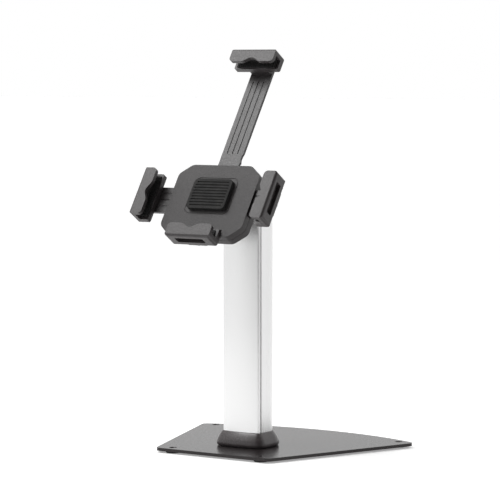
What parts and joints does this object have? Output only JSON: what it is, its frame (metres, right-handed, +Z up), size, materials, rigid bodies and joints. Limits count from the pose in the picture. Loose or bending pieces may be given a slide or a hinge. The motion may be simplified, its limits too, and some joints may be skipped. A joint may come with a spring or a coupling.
{
  "type": "tablet stand",
  "caption": "Free-standing desk holder for a tablet: weighted plate base, rectangular column, tilting and turning head, and geared clamping jaws with a key lock.",
  "frame": {"origin": "on the floor, under the middle of the stand's box at rest", "axes": "+Z up, -Y towards the person who reads the tablet, +X to that person's right"},
  "size_m": [0.308, 0.2893, 0.4805],
  "materials": {
    "powder_coat": "satin mid-grey powder coat",
    "anodised": "satin clear anodised",
    "black_plastic": "finely textured dark grey",
    "rubber": "matt black",
    "black_steel": "satin black",
    "zinc": "zinc plated",
    "nickel": "nickel plated",
    "gear_plastic": "natural acetal"
  },
  "bodies": {
    "stand": {"base_plate": "powder_coat", "foot_front_left": "rubber", "foot_front_right": "rubber", "foot_rear_left": "rubber", "foot_rear_right": "rubber", "base_screw_1": "zinc", "base_screw_2": "zinc", "base_screw_3": "zinc", "base_screw_4": "zinc", "column_profile": "anodised", "column_front_cover": "anodised", "column_collar": "black_plastic", "column_cap": "black_plastic", "head_bracket": "black_steel", "head_screw_1": "zinc", "head_screw_2": "zinc", "head_screw_3": "zinc", "head_screw_4": "zinc", "tilt_bolt": "zinc", "tilt_nut": "zinc", "friction_washer_left": "gear_plastic", "friction_washer_right": "gear_plastic"},
    "tilt_head": {"tilt_bracket": "black_steel", "turn_bolt": "zinc", "spring_washer": "zinc", "turn_nut": "zinc", "friction_ring": "gear_plastic"},
    "holder": {"turn_disc": "black_steel", "disc_screw_1": "zinc", "disc_screw_2": "zinc", "disc_screw_3": "zinc", "front_shell": "black_plastic", "rear_shell": "black_plastic", "shell_screw_1": "zinc", "shell_screw_2": "zinc", "shell_screw_3": "zinc", "shell_screw_4": "zinc", "rest_pad": "rubber", "bottom_arm": "black_plastic", "bottom_jaw": "black_plastic", "bottom_liner": "rubber", "bottom_jaw_screw": "zinc", "lock_barrel": "nickel"},
    "left_slider": {"left_arm": "black_plastic", "left_jaw": "black_plastic", "left_liner": "rubber", "left_jaw_screw": "zinc"},
    "right_slider": {"right_arm": "black_plastic", "right_jaw": "black_plastic", "right_liner": "rubber", "right_jaw_screw": "zinc"},
    "top_slider": {"top_arm": "black_plastic", "top_jaw": "black_plastic", "top_liner": "rubber", "top_jaw_screw": "zinc"},
    "pinion": {"pinion": "gear_plastic"},
    "lock_plug": {"lock_core": "nickel", "lock_cam": "zinc"}
  },
  "joints": [
    {"name": "tilt", "type": "hinge", "parent": "stand", "child": "tilt_head", "pos_m": [0, -0.04184, 0.31583], "axis": [-1, 0, 0], "range_deg": [-33.3, 41.7]},
    {"name": "turn", "type": "hinge", "parent": "tilt_head", "child": "holder", "pos_m": [0, -0.1081, 0.3115], "axis": [0, -0.8358, 0.549], "range_deg": [-90, 90]},
    {"name": "left_slide", "type": "slide", "parent": "holder", "child": "left_slider", "axis": [-1, 0, 0], "range_m": [-0.0165, 0.006]},
    {"name": "right_slide", "type": "slide", "parent": "holder", "child": "right_slider", "axis": [1, 0, 0], "range_m": [-0.0165, 0.006]},
    {"name": "top_slide", "type": "slide", "parent": "holder", "child": "top_slider", "axis": [0, 0.549, 0.8358], "range_m": [-0.039, 0.013]},
    {"name": "pinion_turn", "type": "hinge", "parent": "holder", "child": "pinion", "pos_m": [0, -0.1081, 0.3115], "axis": [0, -0.8358, 0.549], "range_deg": [-119, 44]},
    {"name": "lock_turn", "type": "hinge", "parent": "holder", "child": "lock_plug", "pos_m": [0.031, -0.09383, 0.33323], "axis": [0, 0.8358, -0.549], "range_deg": [0, 90]}
  ],
  "couplings": [
    {"joint": "right_slide", "follows": "left_slide", "ratio": 1},
    {"joint": "pinion_turn", "follows": "left_slide", "rad_per_m": 125}
  ]
}
